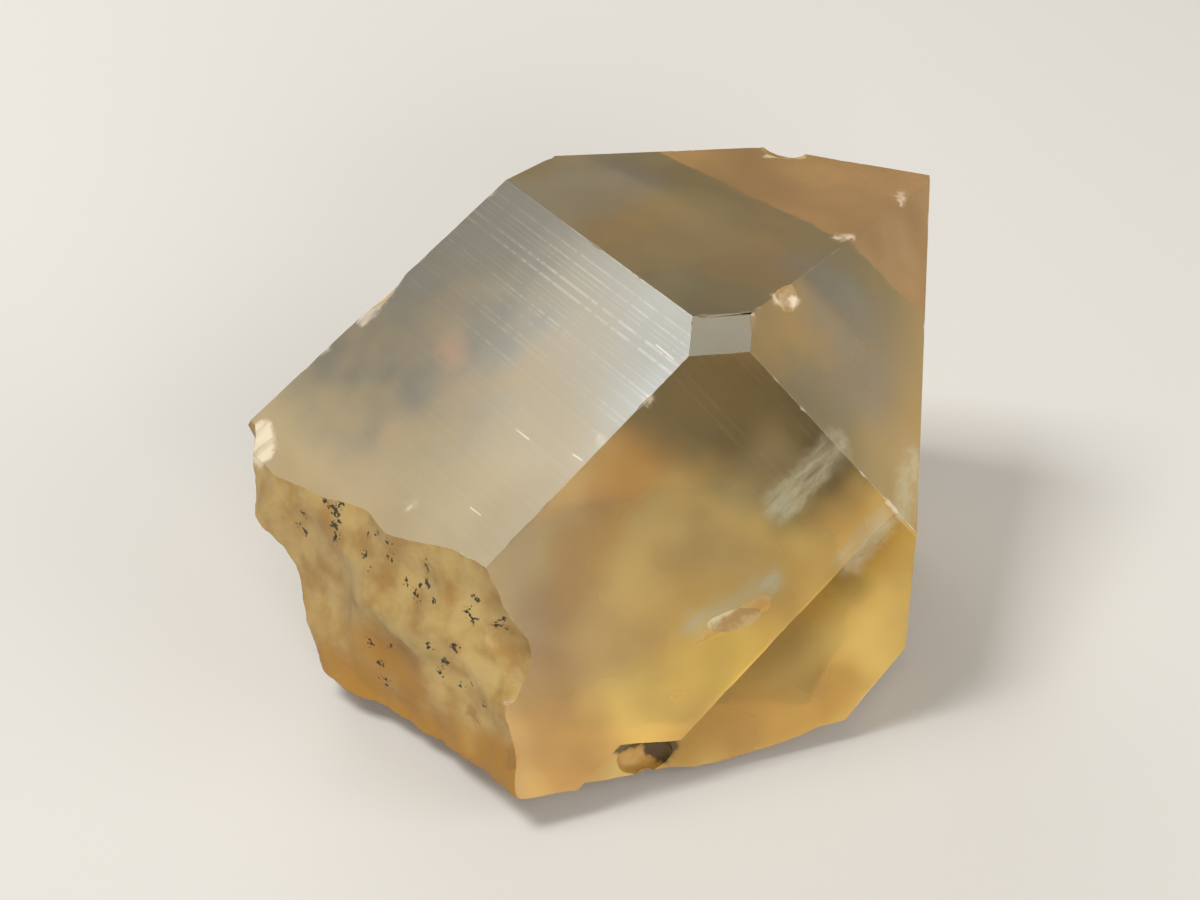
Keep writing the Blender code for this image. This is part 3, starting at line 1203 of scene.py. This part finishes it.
    def store_faces(self, mesh: bmesh.types.BMesh, kinds: bmesh.types.BMLayerItem) -> None:
        """Store what the finish reads on each face, and what is smooth.

        Args:
            mesh: The finished shape.
            kinds: The layer that says what each face is.
        """
        on_break = mesh.faces.layers.float.new("on_break")
        on_frost = mesh.faces.layers.float.new("on_frost")
        on_edge = mesh.faces.layers.float.new("on_edge")
        on_step = mesh.faces.layers.float.new("on_step")
        on_lines = mesh.faces.layers.float.new("on_lines")
        for face in mesh.faces:
            face[on_break] = float(face[kinds] in (Surface.BREAK, Surface.REST))
            face[on_edge] = float(face[kinds] == Surface.EDGE)
            if face[kinds] == Surface.GROWTH:
                finish = self.finish_of(face)
                face[on_frost] = finish.frost
                face[on_lines] = finish.lines
                face[on_step] = float(face.normal.dot(STEP_FACE) > self.step_likeness)
            face.smooth = face[kinds] == Surface.BREAK
        for edge in mesh.edges:
            edge.smooth = all(face[kinds] == Surface.BREAK for face in edge.link_faces)

    def store_corners(self, mesh: bmesh.types.BMesh, kinds: bmesh.types.BMLayerItem) -> None:
        """Store how far each corner is from a speck, and which way its growth lines rise.

        Args:
            mesh: The finished shape in millimetres.
            kinds: The layer that says what each face is.
        """
        outward = mesh.verts.layers.float_vector.new("growth_out")
        speck_gap = mesh.verts.layers.float.new("speck_gap")
        specks = self.scattered_specks(mesh)
        for corner in mesh.verts:
            corner[speck_gap] = min((corner.co - middle).length - radius for middle, radius in specks)
            prism = [face for face in corner.link_faces if self.on_prism(face, kinds)]
            other = [
                face for face in corner.link_faces
                if face[kinds] in (Surface.GROWTH, Surface.REST) and not self.on_prism(face, kinds)
            ]
            if prism and not other:
                flat = prism[0].normal
                if all(face.normal.dot(flat) > self.same_plane for face in prism):
                    corner[outward] = flat * self.finish_of(prism[0]).lines

    def dressed(self, mesh: bmesh.types.BMesh, kinds: bmesh.types.BMLayerItem) -> bpy.types.Object:
        """Store what the finish and the growth lines read, and make the object.

        Args:
            mesh: The finished shape in millimetres.
            kinds: The layer that says what each face is.

        Returns:
            The stone, in metres, at the origin.
        """
        mesh.normal_update()
        self.store_faces(mesh, kinds)
        self.store_corners(mesh, kinds)
        bmesh.ops.scale(mesh, verts=mesh.verts[:], vec=(MM,) * 3)
        data = bpy.data.meshes.new("crystal_body")
        mesh.to_mesh(data)
        mesh.free()
        stone = bpy.data.objects.new("crystal_body", data)
        bpy.context.collection.objects.link(stone)
        return stone


@dataclass(frozen=True)
class Lamp:
    """A soft square light: its way from the stone, its distance and side in metres, and its watts."""

    name: str
    towards: tuple[float, float, float]
    distance: float
    side: float
    power: float
    mirrored: bool = True


LAMPS = (
    Lamp("key_light", (-0.5, 0.1, 0.86), 0.42, 0.16, 1.5),
    Lamp("side_light", (0.9, -0.2, 0.4), 0.5, 0.3, 1.0),
    Lamp("front_light", (0.25, -0.95, 0.2), 0.5, 0.3, 2.7, mirrored=False),
    Lamp("back_light", (-0.3, 0.9, 0.35), 0.5, 0.3, 1.0, mirrored=False),
)


@dataclass(frozen=True)
class PalePaper:
    """Matt studio paper, rolled smooth."""

    colour: str = "#C2BFB9"
    roughness: float = 0.9

    def build(self) -> bpy.types.Material:
        """Build the material of the floor.

        Returns:
            The material.
        """
        # It gives the eye an even pale ground that takes soft shadows and mirrors nothing.
        paper = bpy.data.materials.new("pale_paper")
        paper.use_nodes = True
        base = paper.node_tree.nodes["Principled BSDF"]
        base.inputs["Base Color"].default_value = linear(self.colour)
        base.inputs["Roughness"].default_value = self.roughness
        return paper


@dataclass
class Studio:
    """Plain pale floor, soft lights and the camera."""

    floor_half: float = 0.8
    paper: PalePaper = PalePaper()
    air_colour: str = "#D2CDC4"
    air_strength: float = 0.5

    # The camera's place in millimetres, its pitch up from straight down in degrees, and its lens.
    camera_place: tuple[float, float, float] = (0.0856, -96.4254, 83.6012)
    camera_pitch: float = 53.0
    lens: float = 59.0
    nearest: float = 0.005

    def build(self) -> None:
        """Build the floor, the lights, the surroundings and the camera."""
        self.floor()
        for lamp in LAMPS:
            self.hang(lamp)
        world = bpy.data.worlds.new("studio_air")
        world.use_nodes = True
        air = world.node_tree.nodes["Background"]
        air.inputs["Color"].default_value = linear(self.air_colour)
        air.inputs["Strength"].default_value = self.air_strength
        bpy.context.scene.world = world
        bpy.context.scene.view_settings.view_transform = "Standard"
        self.camera()

    def floor(self) -> None:
        """Lay the floor."""
        mesh = bmesh.new()
        bmesh.ops.create_grid(mesh, x_segments=1, y_segments=1, size=self.floor_half)
        data = bpy.data.meshes.new("floor")
        mesh.to_mesh(data)
        mesh.free()
        floor = bpy.data.objects.new("floor", data)
        bpy.context.collection.objects.link(floor)
        data.materials.append(self.paper.build())

    def hang(self, lamp: Lamp) -> None:
        """Hang one soft square light that faces the stone.

        Args:
            lamp: The light.
        """
        data = bpy.data.lights.new(lamp.name, "AREA")
        data.shape = "SQUARE"
        data.size = lamp.side
        data.energy = lamp.power
        towards = Vector(lamp.towards)
        light = bpy.data.objects.new(lamp.name, data)
        light.visible_glossy = lamp.mirrored
        light.location = HEART * MM + towards.normalized() * lamp.distance
        light.rotation_euler = towards.to_track_quat("Z", "Y").to_euler()
        bpy.context.collection.objects.link(light)

    def camera(self) -> None:
        """Set up the camera."""
        data = bpy.data.cameras.new("camera")
        data.lens = self.lens
        data.clip_start = self.nearest
        camera = bpy.data.objects.new("camera", data)
        camera.location = Vector(self.camera_place) * MM
        camera.rotation_euler = Euler((math.radians(self.camera_pitch), 0.0, 0.0))
        bpy.context.collection.objects.link(camera)
        bpy.context.scene.camera = camera


def main() -> None:
    """Build the stone and the studio."""
    logging.basicConfig(level=logging.INFO, format="%(name)s: %(message)s")
    finish = HazyCitrine().build()
    LOG.info("%s: %d nodes", finish.name, len(finish.node_tree.nodes))
    stone = CrystalBody().build(finish)
    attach(stone, "root")
    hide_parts("citrine_crystal")
    LOG.info("%s: %d faces", stone.name, len(stone.data.polygons))
    Studio().build()


if __name__ == "__main__":
    main()
